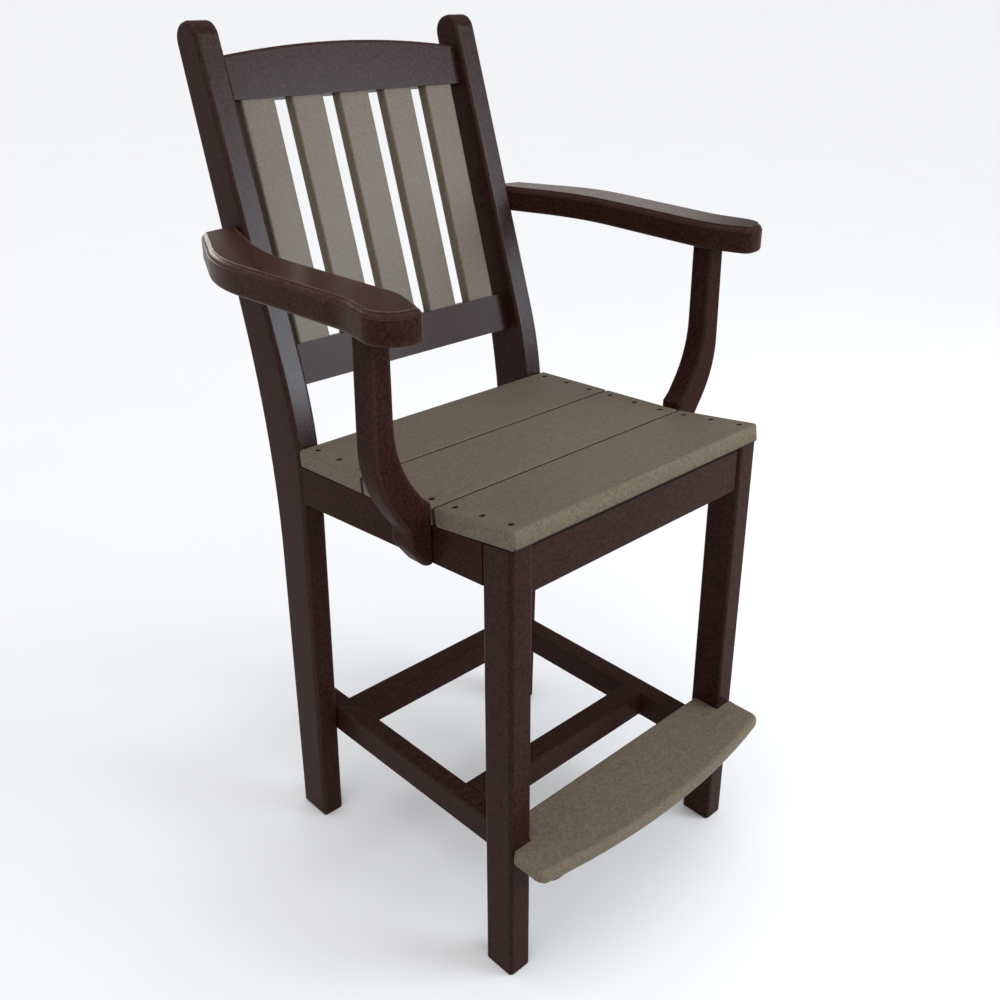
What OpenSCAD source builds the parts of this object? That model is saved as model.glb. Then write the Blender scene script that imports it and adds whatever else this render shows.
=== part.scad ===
// Pub chair with arms and a footrest, built from solid plastic lumber
// Millimetres. X runs across the chair, -Y is the front, Z is up.
// The origin is on the floor, in the middle of the chair's box.
// Side profiles are drawn with Y = 0 at the front face of the front legs and moved to the origin last.

/* [Frame] */
// Width over the outer faces of the legs and posts
frame_w = 474; // [440:1:540]
// Thickness of legs, posts and side aprons across the chair
leg_t = 36.5; // [32:0.5:40]
// Depth of a front leg, front to back
front_leg_d = 51; // [45:1:60]
// Rounding of the front legs' long edges
leg_edge_r = 6; // [2:0.5:10]

/* [Seat] */
// Height of the seat's front edge above the floor
seat_front_h = 689.5; // [640:0.5:760]
// Width of one seat board
board_w = 140.8; // [120:0.1:150]
// Thickness of a seat board
board_t = 25; // [20:0.5:30]
// Open gap between two seat boards
board_gap = 3; // [1:0.5:6]
// How far the front board stands proud of the front legs
board_overhang = 1; // [0:0.5:10]
// Fall of the front board towards the back, in degrees
front_board_slope = 8.2; // [4:0.1:10]
// Fall of the middle and rear boards towards the back, in degrees
board_slope = 3; // [1:0.1:4]
// Rounding of the boards' long edges
board_edge_r = 3; // [2:0.5:8]

/* [Seat frame] */
// Thickness of the front and rear aprons
apron_t = 25.5; // [20:0.5:32]
// How far the front apron's face lies behind the legs' faces
front_apron_setback = 4; // [0:0.5:10]
// How far the front apron reaches down from the seat's front edge
front_apron_drop = 96.5; // [80:0.5:120]
// Open joint between the front apron's top and the seat's front board
front_apron_gap = 2; // [0.5:0.5:4]
// How far the side aprons reach down from the seat's front edge, at the front of the legs
side_apron_drop = 87.5; // [76:0.5:110]
// Fall of the side aprons' lower edge towards the back, in degrees
side_apron_slope = 4.2; // [2:0.1:6]
// How far the side aprons' outer faces lie inside the legs' outer faces
side_apron_setback = 1; // [0:0.5:3]
// How far the rear apron's face lies behind the posts' front edge
rear_apron_setback = 6; // [2:0.5:15]

/* [Rear posts] */
// Height of the posts
post_h = 1195; // [1120:1:1260]
// Front of a post's foot, measured from the front of the legs
post_foot_y = 441; // [420:1:470]
// Depth of a post at the floor
post_foot_d = 57; // [48:1:66]
// Depth of a post where it bends
post_bend_d = 69; // [62:1:78]
// Lean of the post's front edge above the bend, in degrees
post_front_lean = 17.8; // [14:0.1:20]
// Lean of the rails, the slats and the posts' tops, in degrees
back_lean = 16.6; // [14:0.1:18]
// Depth of a post across its top
post_top_d = 50.6; // [47.5:0.1:56]
// Height of the front edge's bend above the seat's rear edge
post_bend_rise = 16; // [0:1:40]
// How much lower the rear edge bends than the front edge
post_bend_drop = 28; // [10:1:45]
// Bend radius of the front edge
post_front_bend_r = 560; // [300:10:700]
// Bend radius of the rear edge
post_rear_bend_r = 1300; // [600:20:1500]
// Clearance from the seat's rear edge to the posts at their bend
post_seat_clearance = 6.3; // [4:0.1:12]
// Rounding of the two corners of a post's top
post_top_r = 23; // [10:1:23]

/* [Back] */
// How far the lower rail's face lies behind the posts' front line, along Y
back_setback = 26; // [12:1:30]
// Height of the lower rail's bottom edge above the seat's rear edge
lower_rail_rise = 72.5; // [50:0.5:120]
// Height of the lower rail along the back's slope
lower_rail_h = 57; // [45:1:75]
// Depth of the crest rail's lower edge below the tops of the posts
crest_drop = 97.4; // [90:0.1:120]
// Height of the crest rail at its ends, along the slope
crest_end_h = 57; // [48:0.5:62]
// Extra height of the crest rail at its middle
crest_arch = 14; // [5:0.5:30]
// Thickness of the rails
rail_t = 25.5; // [24:0.5:32]
// Number of slats
slat_count = 5; // [3:1:5]
// Width of a slat
slat_w = 53; // [40:0.5:58]
// Open gap between an outer slat and its post
slat_end_gap = 17; // [13:0.5:30]
// Thickness of a slat
slat_t = 19; // [14:0.5:20]
// Rounding of the slats' long edges
slat_edge_r = 4; // [1:0.5:6]
// Depth of the mortises that hold the slats' ends
mortise_depth = 12; // [6:0.5:14]

/* [Arms] */
// Height of the arms' top
arm_h = 943; // [900:1:980]
// Thickness of an arm
arm_t = 38; // [30:1:45]
// Front end of the arms, measured back from the front of the legs
arm_front_y = 76; // [50:0.5:110]
// Reach of the arms' ends behind the posts' front edge
arm_rear_overlap = 43.5; // [38:0.5:50]
// Length of an arm's seat against its post
arm_seat_l = 32; // [28:1:36]
// Widest point of an arm, out from the legs' outer face
arm_spread = 109; // [95:0.5:125]
// How far the waist's outer edge lies inside the widest point
arm_waist_dip = 14; // [8:0.5:18]
// Distance of the waist behind the front end
arm_waist_run = 89; // [70:1:110]
// Width of an arm at its waist
arm_waist_w = 65; // [59:1:74]
// Width of an arm's front end
arm_front_w = 61; // [56:1:68]
// How far the front end's outer corner stands outside the waist
arm_front_flare = 17; // [12:0.5:20]
// Rounding of the front end's outer corner
arm_front_r = 36; // [15:1:38]
// Distance behind the front end over which the inner edge flares out
arm_inner_flare = 61; // [50:1:75]
// Length of an arm's inner edge that turns in towards the post
arm_inner_sweep = 155; // [140:1:190]
// Bend radius of the inner edge there
arm_inner_r = 330; // [150:10:350]
// Distance of an arm's widest point from its rear end
arm_elbow = 141; // [130:1:160]
// Bend radius of the outer edge there
arm_elbow_r = 200; // [80:10:240]
// Width of an arm's rear end
arm_rear_w = 48; // [42:1:54]

/* [Arm supports] */
// Front face of the supports, measured from the front of the legs
support_y = 138; // [120:1:150]
// Thickness of a support, front to back
support_t = 36; // [30:0.5:40]
// Width of a support's foot
support_foot_w = 37; // [32:0.5:44]
// Width of a support's upright
support_upright_w = 32.5; // [28:0.5:36]
// How far the upright stands outside the foot
support_run = 45; // [36:0.5:48]
// Height of the slanted stretch between foot and upright
support_rise = 68; // [62:0.5:80]
// Height of the slant's lower end above the seat, at its inner edge
support_inner_lift = 19; // [16:0.5:26]
// Depth of the slant's lower end below the seat's top, at its outer edge
support_outer_drop = 21; // [14:0.5:25]
// How far the support's lower end hangs below the side apron's edge, at its front face
support_foot_drop = 0.5; // [0:0.5:8]
// Width of a support's level lower end, below its slanted toe
support_toe_w = 12; // [11:0.5:18]
// Height of the slanted toe
support_toe_h = 34; // [28:0.5:38]
// Bend radius where the slanted toe meets the foot's outer face
support_toe_r = 25; // [10:1:30]
// Bend radius of the foot's outer face into the slant
support_heel_r = 25; // [10:5:35]
// Bend radius of the slant into the upright
support_bend_r = 160; // [60:5:200]

/* [Stretchers and footrest] */
// Height of the stretchers' lower edge
stretcher_z = 155; // [130:1:170]
// Height of a stretcher's section
stretcher_h = 44; // [38:0.5:50]
// Thickness of the side stretchers
side_stretcher_t = 29.5; // [25:0.5:34]
// Thickness of the middle and rear stretchers
cross_stretcher_t = 36; // [30:0.5:40]
// Front of the middle stretcher, measured from the front of the legs
middle_stretcher_y = 129; // [110:1:200]
// Front of the rear stretcher, measured from the front of the legs
rear_stretcher_y = 410; // [360:1:430]
// How far the side stretchers' ends stop before the posts' rear edge
stretcher_end_setback = 8; // [0:1:14]
// Radius of the side stretchers' front noses
nose_r = 80; // [60:1:100]
// How far the noses reach in front of the legs
nose_reach = 57; // [50:0.5:66]
// Thickness of the footrest board
footrest_t = 21; // [16:0.5:28]
// Width of the footrest board in front of the legs
footrest_w = 474; // [420:1:490]
// Reach of the footrest board in front of the legs
footrest_reach = 80; // [70:1:110]
// How far the footrest's front edge bows out at its middle
footrest_bow = 26; // [10:1:30]
// Rounding of the footrest's front corners
footrest_corner_r = 14; // [10:1:30]
// How far the footrest board reaches in between the legs
footrest_tail = 46; // [40:1:60]

/* [Fasteners] */
// Radius of the wood screws' shanks
screw_r = 2.1; // [1.6:0.1:2.5]
// Radius of the wood screws' heads
screw_head_r = 4.1; // [3.6:0.1:4.5]
// Length of the seat screws
seat_screw_l = 40; // [35:1:42]
// Distance of the seat screws from the boards' ends
seat_screw_end = 18; // [16:0.5:20]
// How far the seat screws' heads sit below the boards' faces
seat_screw_sink = 0.6; // [0:0.1:0.9]
// Distance of the outer seat screws from the boards' long edges
seat_screw_edge = 20.5; // [16:0.5:30]
// Length of a pocket screw behind the joint
pocket_back = 24; // [22:0.5:26]
// Length of a pocket screw beyond the joint
pocket_into = 21; // [16:0.5:24]
// Distance of a pocket screw's axis from the pocketed face, at the joint
pocket_inset = 12.5; // [12:0.1:13]
// Length of the screws through the side stretchers into the legs
lap_screw_l = 50; // [40:1:58]
// Length of the screws through the posts into the arms
arm_screw_l = 62; // [50:1:66]
// Height of the footrest screws' heads above the stretchers' lower edge
footrest_screw_lift = 17; // [12:0.5:20]
// Bite of the footrest screws in the board
footrest_screw_bite = 15; // [10:0.5:15]
// Radius of the dowel screws in the arm supports' tops
dowel_r = 3; // [2.5:0.1:4]
// Depth of the dowel screws in the supports
dowel_down = 30; // [20:1:40]
// Depth of the dowel screws in the arms
dowel_up = 24; // [16:1:26]
// Radius of the bolts that hold the arm supports
bolt_r = 3.2; // [3:0.1:4]
// Length of those bolts
bolt_l = 56; // [50:1:58]
// Radius of their washers
washer_r = 8; // [7:0.5:9]
// Thickness of their washers
washer_t = 1.6; // [1:0.1:2.5]

/* [Fits] */
// Clearance round a fastener and its hole
hole_fit = 0.1; // [0.05:0.05:0.3]
// Clearance round a slat in its mortise, and round the footrest board between the legs
board_fit = 0.2; // [0.1:0.05:0.3]

/* [Hidden] */

brown = "#43302b";
tan_brown = "#8a7d68";
steel = "#8b8b88";

// Largest distance between a drawn arc and its true circle
arc_error = 0.1;
// Slack of a cutting body past the face it cuts
past = 1;
$fn = 32;

half_w = frame_w / 2;
inner_x = half_w - leg_t;

// Points and directions
function flat(p) = [p.x, p.y];
function unit(v) = v / norm(v);
function cross2(a, b) = a.x * b.y - a.y * b.x;
function meet(p, d, q, e) = p + d * cross2(q - p, e) / cross2(d, e);
function arc_steps(r, turn) = max(2, ceil(turn / (2 * acos(1 - arc_error / r))));

// One corner of an outline, [x, y, radius], as the points of its arc
function fillet(a, b, c) =
    let (u = unit(flat(a) - flat(b)), v = unit(flat(c) - flat(b)), half = acos(u * v) / 2)
    let (centre = flat(b) + unit(u + v) * b.z / sin(half), first = flat(b) + u * b.z / tan(half) - centre)
    let (turn = 180 - 2 * half, way = -sign(cross2(u, v)), steps = arc_steps(b.z, turn))
    [for (k = [0:steps]) let (t = way * turn * k / steps)
        centre + [first.x * cos(t) - first.y * sin(t), first.x * sin(t) + first.y * cos(t)]];

// An outline with rounded corners, from a list of [x, y, radius]
function rounded(points) =
    let (n = len(points))
    [for (i = [0:n - 1]) let (p = points[i])
        each (p.z == 0 ? [flat(p)] : fillet(points[(i + n - 1) % n], p, points[(i + 1) % n]))];
function rounded_box(x0, x1, y0, y1, r) = rounded([[x0, y0, r], [x1, y0, r], [x1, y1, r], [x0, y1, r]]);

// An arc over a chord from -half to half that rises by a given amount at the middle
function bow(half, rise, steps) =
    let (r = (half * half + rise * rise) / (2 * rise))
    [for (k = [0:steps]) let (x = -half + 2 * half * k / steps) [x, sqrt(r * r - x * x) - (r - rise)]];

// Seat boards, seen from the side as [y, z]
board_slopes = [front_board_slope, board_slope, board_slope];
function along(slope) = [cos(slope), -sin(slope)];
function above(slope) = [sin(slope), cos(slope)];
board_2_start = board_end(0) + along((front_board_slope + board_slope) / 2) * board_gap;
board_3_start = board_end(1) + along(board_slope) * board_gap;
function board_start(i) =
    i == 0 ? [-board_overhang, seat_front_h] : i == 1 ? board_2_start : board_3_start;
function board_end(i) = board_start(i) + along(board_slopes[i]) * board_w;
function underside(i) = board_start(i) - above(board_slopes[i]) * board_t;
seat_rear = board_end(2);
underside_bend = meet(underside(0), along(front_board_slope), underside(1), along(board_slope));
function height_on(p, slope, y) = p.y - (y - p.x) * tan(slope);

// Rear posts, seen from the side as [y, z]
front_dir = [sin(post_front_lean), cos(post_front_lean)];
bend_z = seat_rear.y + post_bend_rise;
foot_lean = atan((post_foot_y - seat_rear.x) / bend_z);
bend_swell = post_front_bend_r * (1 / cos((post_front_lean + foot_lean) / 2) - 1);
front_bend = [seat_rear.x + post_seat_clearance - bend_swell, bend_z];
rear_bend = [front_bend.x + post_bend_d, bend_z - post_bend_drop];
top_arc_z = post_h - post_top_r;
top_arc_run = (post_top_r + (top_arc_z - front_bend.y) * sin(post_front_lean)) / cos(post_front_lean);
top_arc = [front_bend.x + top_arc_run, top_arc_z];
top_line = top_arc + [sin(back_lean), cos(back_lean)] * post_top_r;
top_dir = [cos(back_lean), -sin(back_lean)];
top_front = meet(front_bend, front_dir, top_line, top_dir);
top_rear = top_front + top_dir * post_top_d;
post_profile = rounded([
    [post_foot_y, 0, 0],
    [post_foot_y + post_foot_d, 0, 0],
    [rear_bend.x, rear_bend.y, post_rear_bend_r],
    [top_rear.x, top_rear.y, post_top_r],
    [top_front.x, top_front.y, post_top_r],
    [front_bend.x, front_bend.y, post_front_bend_r]
]);
function post_line_y(z) = front_bend.x + (z - front_bend.y) * tan(post_front_lean);
function foot_line_y(z) = post_foot_y + (front_bend.x - post_foot_y) * z / front_bend.y;

// The model's middle, front to back
centre_y = (max([for (p = post_profile) p.x]) - footrest_reach) / 2;

// Back, in its own leaning frame: Y runs back from the rails' front faces, Z up from the lower rail
back_z = seat_rear.y + lower_rail_rise;
back_y = post_line_y(back_z) + back_setback;
crest_z = (post_h - crest_drop - back_z) / cos(back_lean);
slat_pitch = (2 * inner_x - 2 * slat_end_gap - slat_w) / (slat_count - 1);

// Arms and their supports
arm_z = arm_h - arm_t;
arm_rear_y = post_line_y(arm_z + arm_t / 2) + arm_rear_overlap;
arm_waist_x = arm_spread - arm_waist_dip;
arm_inner_x = arm_waist_x - arm_waist_w;
arm_front_x = arm_waist_x + arm_front_flare;
// Offset of the inner edge's turn, and slant of the rear end
arm_turn_out = 13;
arm_rear_slant = 10;
// Bend radii of an arm's inner flare and waist, and rounding of its inner front corner and rear corner
arm_flare_r = 100;
arm_waist_r = 150;
arm_front_inner_r = 16;
arm_rear_r = 8;
support_mid_y = support_y + support_t / 2;
support_seat_z = height_on(board_start(support_mid_y > board_2_start.x ? 1 : 0),
    board_slopes[support_mid_y > board_2_start.x ? 1 : 0], support_mid_y);
support_outer_x = support_foot_w + support_run;
support_inner_x = support_outer_x - support_upright_w;
// Taper of the upright towards its top, on its outer side
support_taper = 3;
// Inner slant: height of its start above the seat, and its lower corner, out from the legs' outer face
support_start_lift = 7;
support_inner_start = 12.5;
support_inner_rise = support_rise * (support_inner_x - support_inner_start) / support_run;
// The smaller corner radii
support_slant_r = 16;
support_toe_tip_r = 14;
support_heel_tip_r = 3;
support_foot_z = side_apron_z(support_y) - support_foot_drop;

function side_apron_z(y) = seat_front_h - side_apron_drop - y * tan(side_apron_slope);

// Footrest and stretchers
stretcher_top = stretcher_z + stretcher_h;
stretcher_x = inner_x - side_stretcher_t;
nose_centre = [sqrt(pow(nose_r, 2) - pow(nose_r - stretcher_h, 2)) - nose_reach, stretcher_z + nose_r];
stretcher_end_y = post_foot_y + post_foot_d - stretcher_end_setback;

// Fasteners
pocket_angle = 15;
pocket_length = 46;
head_rim = 0.4;
screw_tip = 6;
pan_head_h = 3;
bolt_head_h = 4.5;

// Solids with an outline across X, Y or Z
module outline_x(points, x0, x1) {
    translate([x0, 0, 0]) rotate([90, 0, 90]) linear_extrude(x1 - x0) polygon(points);
}
module outline_y(points, y0, y1) {
    translate([0, y1, 0]) rotate([90, 0, 0]) linear_extrude(y1 - y0) polygon(points);
}
module outline_z(points, z0, z1) {
    translate([0, 0, z0]) linear_extrude(z1 - z0) polygon(points);
}

// Places
module placed() {
    translate([0, -centre_y, 0]) children();
}
module left() {
    placed() children();
}
module right() {
    placed() mirror([1, 0, 0]) children();
}
module both_sides() {
    children();
    mirror([1, 0, 0]) children();
}
module on_board(i) {
    translate([0, board_start(i).x, board_start(i).y]) rotate([-board_slopes[i], 0, 0]) children();
}
module on_back() {
    translate([0, back_y, back_z]) rotate([-back_lean, 0, 0]) children();
}
// A fastener drawn pointing down -Z, turned to point along a direction
module driven(at, dir) {
    translate(at) rotate([0, acos(-dir.z), atan2(-dir.y, -dir.x)]) children();
}

// Screws, and the holes they sit in
module flat_head_screw(length) {
    rotate_extrude()
        polygon([[0, 0], [screw_head_r, 0], [screw_head_r, -head_rim],
            [screw_r, -head_rim - screw_head_r + screw_r], [screw_r, screw_tip - length], [0, -length]]);
}
module flat_head_hole(length) {
    bore_r = screw_r + hole_fit;
    rotate_extrude()
        polygon([[0, past], [screw_head_r + hole_fit, past],
            [screw_head_r + hole_fit, -head_rim - hole_fit],
            [bore_r, -head_rim - screw_head_r + screw_r - hole_fit], [bore_r, -length - hole_fit],
            [0, -length - hole_fit]]);
}
module pan_head_screw(length) {
    rotate_extrude()
        polygon([[0, pan_head_h], [screw_head_r - 1, pan_head_h], [screw_head_r, pan_head_h - 1],
            [screw_head_r, 0], [screw_r, 0], [screw_r, screw_tip - length], [0, -length]]);
}
module pan_head_hole(length, mouth) {
    translate([0, 0, -length - hole_fit]) cylinder(r = screw_r + hole_fit, h = length + 2 * hole_fit);
    cylinder(r = screw_head_r + 2 * hole_fit, h = mouth);
}

// Where each group of screws goes
module at_seat_screws(i) {
    for (side = [-1, 1])
        for (y = [seat_screw_edge, board_w / 2, board_w - seat_screw_edge])
            on_board(i) translate([side * (half_w - seat_screw_end), y, -seat_screw_sink]) children();
}
module at_all_seat_screws() {
    for (i = [0:2])
        at_seat_screws(i) children();
}
module pocket(at, dir) {
    driven(at - dir * pocket_back, dir) children();
}
front_apron_y = front_apron_setback + apron_t;
front_apron_z = seat_front_h - front_apron_drop;
rear_apron_y = foot_line_y(front_apron_z) + rear_apron_setback;
pocket_rise = 11;
module at_front_apron_screws() {
    both_sides()
        for (z = [front_apron_z + pocket_rise, front_apron_z + 4.5 * pocket_rise])
            pocket([inner_x, front_apron_y - pocket_inset, z], [cos(pocket_angle), -sin(pocket_angle), 0])
                children();
}
module at_rear_apron_screws() {
    both_sides()
        for (z = [rear_apron_z + pocket_rise, rear_apron_top - pocket_rise])
            pocket([inner_x, rear_apron_y + pocket_inset, z], [cos(pocket_angle), sin(pocket_angle), 0])
                children();
}
rear_apron_z = side_apron_z(rear_apron_y);
rear_apron_top = height_on(underside(2), board_slope, rear_apron_y + apron_t);
side_apron_outer = half_w - side_apron_setback;
side_pocket_x = inner_x + pocket_inset;
module at_side_apron_screws() {
    both_sides() {
        for (share = [0.32, 0.68]) {
            front_z = side_apron_z(front_leg_d) * (1 - share)
                + height_on(underside(0), front_board_slope, front_leg_d) * share;
            pocket([side_pocket_x, front_leg_d, front_z], [sin(pocket_angle), -cos(pocket_angle), 0])
                children();
            rear_z = rear_apron_z * (1 - share) + rear_apron_top * share;
            pocket([side_pocket_x, foot_line_y(rear_z), rear_z], [sin(pocket_angle), cos(pocket_angle), 0])
                children();
        }
    }
}
module at_rail_screws() {
    heights = [0.25 * lower_rail_h, 0.55 * lower_rail_h,
        crest_z + 0.45 * crest_end_h, crest_z + 0.8 * crest_end_h];
    on_back()
        both_sides()
            for (z = heights)
                pocket([inner_x, rail_t - pocket_inset, z], [cos(pocket_angle), -sin(pocket_angle), 0])
                    children();
}
module at_stretcher_end_screws() {
    for (y = [middle_stretcher_y, rear_stretcher_y])
        both_sides()
            for (share = [0.27, 0.73])
                pocket([stretcher_x, y + share * cross_stretcher_t, stretcher_z + pocket_inset],
                    [cos(pocket_angle), 0, sin(pocket_angle)]) children();
}
lap_high = 0.75 * stretcher_h;
lap_low = 0.25 * stretcher_h;
lap_spots = [
    [0.27 * front_leg_d, lap_high], [0.73 * front_leg_d, lap_low],
    [post_foot_y + 0.25 * post_foot_d, lap_high], [post_foot_y + 0.65 * post_foot_d, lap_low]
];
module at_lap_screws() {
    both_sides()
        for (spot = lap_spots)
            driven([stretcher_x, spot.x, stretcher_z + spot.y], [1, 0, 0]) children();
}
footrest_screw_l = stretcher_h - footrest_screw_lift + footrest_screw_bite;
footrest_screw_ys = [-0.25 * footrest_reach, 0.5 * front_leg_d];
module at_footrest_screws() {
    both_sides()
        for (y = footrest_screw_ys)
            driven([stretcher_x + side_stretcher_t / 2, y, stretcher_z + footrest_screw_lift], [0, 0, 1])
                children();
}
module at_arm_screws() {
    both_sides()
        for (share = [0.27, 0.73])
            driven([inner_x, arm_rear_y - arm_seat_l / 2, arm_z + share * arm_t], [1, 0, 0]) children();
}
module at_arm_dowels() {
    both_sides()
        translate([half_w + support_outer_x - support_upright_w / 2, support_mid_y, arm_z]) children();
}
// Each bolt's place: share of the support's thickness off its middle, and height above the apron's lower edge
bolt_spots = [[-0.25, 36], [0.25, 24]];
module at_support_bolts() {
    both_sides()
        for (spot = bolt_spots)
            driven([inner_x, support_mid_y + spot.x * support_t, side_apron_z(support_mid_y) + spot.y],
                [1, 0, 0]) children();
}
module bolt_hole() {
    translate([0, 0, -bolt_l - hole_fit]) cylinder(r = bolt_r + hole_fit, h = bolt_l + past);
}
module dowel_hole() {
    translate([0, 0, -dowel_down - hole_fit])
        cylinder(r = dowel_r + hole_fit, h = dowel_down + dowel_up + 2 * hole_fit);
}

// Everything above the plane that the seat boards lie on
module above_seat_frame() {
    far_front = underside(0) - along(front_board_slope) * front_leg_d;
    far_rear = underside(1) + along(board_slope) * (seat_rear.x + post_bend_d);
    outline_x([far_front, underside_bend, far_rear, [far_rear.x, arm_h], [far_front.x, arm_h]],
        -frame_w, frame_w);
}

// Legs and posts
module rear_post() {
    difference() {
        outline_x(post_profile, inner_x, half_w);
        at_side_apron_screws() pan_head_hole(pocket_back + pocket_into, pocket_length);
        at_rear_apron_screws() pan_head_hole(pocket_back + pocket_into, pocket_length);
        at_rail_screws() pan_head_hole(pocket_back + pocket_into, pocket_length);
        at_lap_screws() flat_head_hole(lap_screw_l);
        at_arm_screws() flat_head_hole(arm_screw_l);
    }
}
module front_leg() {
    difference() {
        outline_z(rounded_box(inner_x, half_w, 0, front_leg_d, leg_edge_r), 0, seat_front_h);
        above_seat_frame();
        at_seat_screws(0) flat_head_hole(seat_screw_l);
        at_front_apron_screws() pan_head_hole(pocket_back + pocket_into, pocket_length);
        at_side_apron_screws() pan_head_hole(pocket_back + pocket_into, pocket_length);
        at_lap_screws() flat_head_hole(lap_screw_l);
    }
}
module right_rear_post() color(brown) right() rear_post();
module left_rear_post() color(brown) left() rear_post();
module right_front_leg() color(brown) right() front_leg();
module left_front_leg() color(brown) left() front_leg();

// Seat frame
module front_apron() {
    color(brown) placed() difference() {
        translate([-inner_x, front_apron_setback, front_apron_z])
            cube([2 * inner_x, apron_t, seat_front_h - front_apron_z]);
        translate([0, 0, -front_apron_gap]) above_seat_frame();
        at_front_apron_screws() pan_head_hole(pocket_back + pocket_into, pocket_length);
    }
}
module rear_apron() {
    color(brown) placed() difference() {
        translate([-inner_x, rear_apron_y, rear_apron_z])
            cube([2 * inner_x, apron_t, seat_front_h - rear_apron_z]);
        above_seat_frame();
        at_rear_apron_screws() pan_head_hole(pocket_back + pocket_into, pocket_length);
    }
}
module side_apron() {
    far_y = post_foot_y + post_foot_d / 2;
    difference() {
        outline_x([[front_leg_d, side_apron_z(front_leg_d)], [far_y, side_apron_z(far_y)],
            [far_y, seat_front_h], [front_leg_d, seat_front_h]], inner_x, side_apron_outer);
        above_seat_frame();
        outline_x(post_profile, inner_x - past, half_w + past);
        at_all_seat_screws() flat_head_hole(seat_screw_l);
        at_side_apron_screws() pan_head_hole(pocket_back + pocket_into, pocket_length);
        at_support_bolts() bolt_hole();
    }
}
module right_side_apron() color(brown) right() side_apron();
module left_side_apron() color(brown) left() side_apron();

// Stretchers and footrest
module side_stretcher() {
    low = atan2(stretcher_z - nose_centre.y, 0);
    turn = acos((nose_r - stretcher_h) / nose_r);
    steps = arc_steps(nose_r, turn);
    nose = [for (k = [0:steps]) let (t = low - turn * k / steps) nose_centre + nose_r * [cos(t), sin(t)]];
    difference() {
        outline_x(concat(nose, [[stretcher_end_y, stretcher_top], [stretcher_end_y, stretcher_z]]),
            stretcher_x, inner_x);
        at_lap_screws() flat_head_hole(lap_screw_l);
        at_stretcher_end_screws() pan_head_hole(pocket_back + pocket_into, pocket_length);
        at_footrest_screws() pan_head_hole(footrest_screw_l, stretcher_h);
    }
}
module cross_stretcher(y) {
    difference() {
        translate([-stretcher_x, y, stretcher_z]) cube([2 * stretcher_x, cross_stretcher_t, stretcher_h]);
        at_stretcher_end_screws() pan_head_hole(pocket_back + pocket_into, pocket_length);
    }
}
module right_side_stretcher() color(brown) right() side_stretcher();
module left_side_stretcher() color(brown) left() side_stretcher();
module middle_stretcher() color(brown) placed() cross_stretcher(middle_stretcher_y);
module rear_stretcher() color(brown) placed() cross_stretcher(rear_stretcher_y);
module footrest_board() {
    half = footrest_w / 2;
    tail_x = inner_x - board_fit;
    shoulder_r = 8;
    tail_r = 6;
    front = [for (p = bow(half, footrest_bow, 12)) [p.x, -footrest_reach + footrest_bow - p.y,
        abs(p.x) > half - past ? footrest_corner_r : 0]];
    tail = [[half, -board_fit, shoulder_r], [tail_x, -board_fit, 0], [tail_x, footrest_tail, tail_r],
        [-tail_x, footrest_tail, tail_r], [-tail_x, -board_fit, 0], [-half, -board_fit, shoulder_r]];
    color(tan_brown) placed() difference() {
        outline_z(rounded(concat(front, tail)), stretcher_top, stretcher_top + footrest_t);
        at_footrest_screws() pan_head_hole(footrest_screw_l, stretcher_h);
    }
}

// Seat
module seat_board(i) {
    color(tan_brown) placed() difference() {
        on_board(i) outline_x(rounded_box(0, board_w, -board_t, 0, board_edge_r), -half_w, half_w);
        at_seat_screws(i) flat_head_hole(seat_screw_l);
    }
}
module seat_board_front() seat_board(0);
module seat_board_middle() seat_board(1);
module seat_board_rear() seat_board(2);

// Back
module slat_body(i, grow) {
    x = (i - (slat_count - 1) / 2) * slat_pitch;
    half = slat_w / 2 + grow;
    middle = rail_t / 2;
    outline_z(rounded_box(x - half, x + half, middle - slat_t / 2 - grow, middle + slat_t / 2 + grow,
        slat_edge_r + grow), lower_rail_h - mortise_depth - grow, crest_z + mortise_depth + grow);
}
module rail_cuts() {
    on_back()
        for (i = [0:slat_count - 1])
            slat_body(i, board_fit);
    at_rail_screws() pan_head_hole(pocket_back + pocket_into, pocket_length);
}
module lower_back_rail() {
    color(brown) placed() difference() {
        on_back() translate([-inner_x, 0, 0]) cube([2 * inner_x, rail_t, lower_rail_h]);
        rail_cuts();
    }
}
module crest_rail() {
    arch = [for (p = bow(inner_x, crest_arch, 20)) [p.x, crest_z + crest_end_h + p.y]];
    color(brown) placed() difference() {
        on_back() outline_y(concat(arch, [[inner_x, crest_z], [-inner_x, crest_z]]), 0, rail_t);
        rail_cuts();
    }
}
module back_slat(i) {
    if (i < slat_count) color(tan_brown) placed() on_back() slat_body(i, 0);
}

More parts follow.
